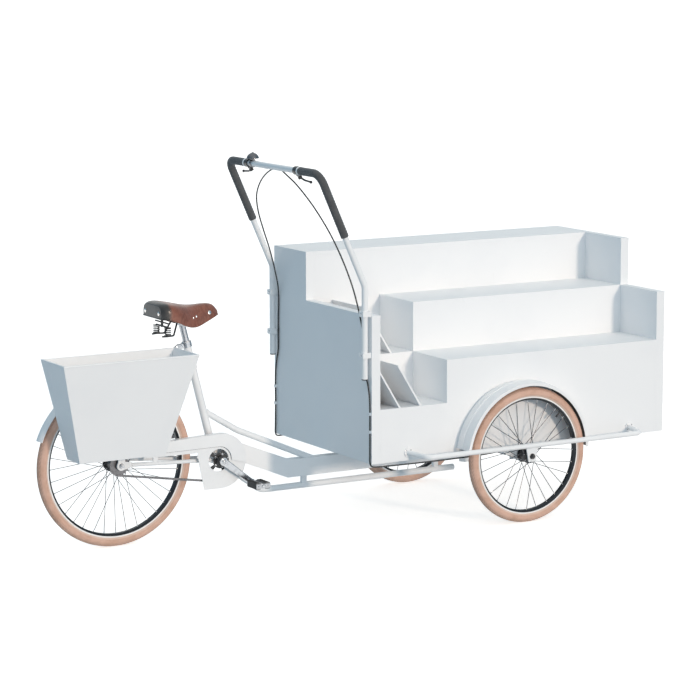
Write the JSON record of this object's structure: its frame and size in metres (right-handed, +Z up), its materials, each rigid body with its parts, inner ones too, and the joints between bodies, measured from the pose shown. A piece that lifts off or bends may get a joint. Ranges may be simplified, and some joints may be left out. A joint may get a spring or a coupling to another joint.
{
  "type": "cargo tricycle vending cart",
  "caption": "Pedal tricycle with a stepped display box between its front wheels, a push hoop with brake levers, a leather saddle and a side pannier.",
  "frame": {"origin": "on the ground under the middle of the overall box", "axes": "+X forward towards the display box, +Y to the rider's left, +Z up"},
  "size_m": [2.717, 1.031, 1.5035],
  "materials": {
    "white_metal": "smooth white powder coat",
    "white_board": "smooth white paint on plywood",
    "steel": "bright plated steel",
    "chrome": "polished",
    "tan_tyre": "matte tan rubber",
    "dark_rim": "satin charcoal",
    "black_hub": "black enamel and dark steel",
    "brown_leather": "waxed brown leather, darker at the rear",
    "grip_foam": "matte dark grey foam",
    "cable_sheath": "satin black sheath",
    "pedal_rubber": "ribbed black rubber"
  },
  "bodies": {
    "rear_frame": {"main_beam": "white_metal", "upper_tube": "white_metal", "lower_tube": "white_metal", "seat_tube": "white_metal", "chain_stays": "white_metal", "seat_stays": "white_metal", "rear_mudguard": "white_metal", "chain_guard": "white_metal", "chain": "steel", "pannier_rack": "white_metal", "pannier_box": "white_board", "seat_clamp": "chrome", "rear_axle": "steel"},
    "cart": {"cart_underframe": "white_metal", "outer_rails": "white_metal", "front_axles": "steel", "front_mudguards": "white_metal", "cart_floor": "white_board", "rear_end_panel": "white_board", "front_end_panel": "white_board", "right_side_panel": "white_board", "left_side_panel": "white_board", "lower_shelf": "white_board", "middle_riser": "white_board", "upper_shelf": "white_board", "top_riser": "white_board", "top_deck": "white_board", "partition": "white_board", "pocket_floors": "white_board", "pocket_dividers": "white_board", "handlebar_hoop": "white_metal", "foam_grips": "grip_foam", "panel_clips": "white_metal", "lever_clamps": "black_hub", "bell": "chrome", "brake_cable_right": "cable_sheath", "brake_cable_left": "cable_sheath"},
    "right_wheel": {"right_tyre": "tan_tyre", "right_rim": "dark_rim", "right_hub": "black_hub"},
    "left_wheel": {"left_tyre": "tan_tyre", "left_rim": "dark_rim", "left_hub": "black_hub"},
    "rear_wheel": {"rear_tyre": "tan_tyre", "rear_rim": "dark_rim", "rear_hub": "black_hub"},
    "crankset": {"crank_right": "chrome", "crank_left": "chrome", "chainring": "black_hub"},
    "right_pedal": {"pedal_right": "pedal_rubber"},
    "left_pedal": {"pedal_left": "pedal_rubber"},
    "freewheel": {"rear_sprocket": "steel"},
    "seat": {"seat_post": "steel", "saddle_leather": "brown_leather", "saddle_frame": "black_hub", "saddle_springs": "black_hub"},
    "seat_quick_release": {"seat_lever": "chrome"},
    "right_brake_lever": {"brake_lever_right": "black_hub"},
    "left_brake_lever": {"brake_lever_left": "black_hub"},
    "bell_thumb": {"bell_lever": "chrome"}
  },
  "joints": [
    {"name": "steer", "type": "hinge", "parent": "rear_frame", "child": "cart", "pos_m": [0.6205, 0, 0.232], "axis": [0, 0, 1], "range_deg": [-25, 25]},
    {"name": "right_wheel_spin", "type": "hinge", "parent": "cart", "child": "right_wheel", "pos_m": [0.6205, -0.462, 0.278], "axis": [0, 1, 0], "continuous": true},
    {"name": "left_wheel_spin", "type": "hinge", "parent": "cart", "child": "left_wheel", "pos_m": [0.6205, 0.462, 0.278], "axis": [0, 1, 0], "continuous": true},
    {"name": "rear_wheel_spin", "type": "hinge", "parent": "rear_frame", "child": "rear_wheel", "pos_m": [-1.0165, 0, 0.33], "axis": [0, 1, 0], "continuous": true},
    {"name": "crank_spin", "type": "hinge", "parent": "rear_frame", "child": "crankset", "pos_m": [-0.5725, 0, 0.304], "axis": [0, 1, 0], "continuous": true},
    {"name": "sprocket_spin", "type": "hinge", "parent": "rear_frame", "child": "freewheel", "pos_m": [-1.0165, -0.048, 0.33], "axis": [0, 1, 0], "continuous": true},
    {"name": "right_pedal_spin", "type": "hinge", "parent": "crankset", "child": "right_pedal", "pos_m": [-0.44615, -0.12, 0.20913], "axis": [0, 1, 0], "continuous": true},
    {"name": "left_pedal_spin", "type": "hinge", "parent": "crankset", "child": "left_pedal", "pos_m": [-0.69885, 0.11, 0.39887], "axis": [0, 1, 0], "continuous": true},
    {"name": "seat_slide", "type": "slide", "parent": "rear_frame", "child": "seat", "axis": [-0.2487, 0, 0.9686], "range_m": [-0.03, 0.06]},
    {"name": "seat_lever_turn", "type": "hinge", "parent": "rear_frame", "child": "seat_quick_release", "pos_m": [-0.72123, -0.013, 0.77067], "axis": [0, -1, 0], "range_deg": [0, 90]},
    {"name": "right_brake_squeeze", "type": "hinge", "parent": "cart", "child": "right_brake_lever", "pos_m": [-0.28974, -0.2, 1.43466], "axis": [-0.9114, 0, -0.4115], "range_deg": [0, 14], "stiffness_Nm_per_rad": 1.5, "springref_deg": -17.19},
    {"name": "left_brake_squeeze", "type": "hinge", "parent": "cart", "child": "left_brake_lever", "pos_m": [-0.28974, 0.2, 1.43466], "axis": [0.9114, 0, 0.4115], "range_deg": [0, 14], "stiffness_Nm_per_rad": 1.5, "springref_deg": -17.19},
    {"name": "bell_thumb_turn", "type": "hinge", "parent": "cart", "child": "bell_thumb", "pos_m": [-0.30209, 0.165, 1.4825], "axis": [0, 0, 1], "range_deg": [0, 25], "stiffness_Nm_per_rad": 0.02, "springref_deg": -11.46}
  ],
  "couplings": [
    {"joint": "sprocket_spin", "follows": "crank_spin", "ratio": 2.1}
  ]
}
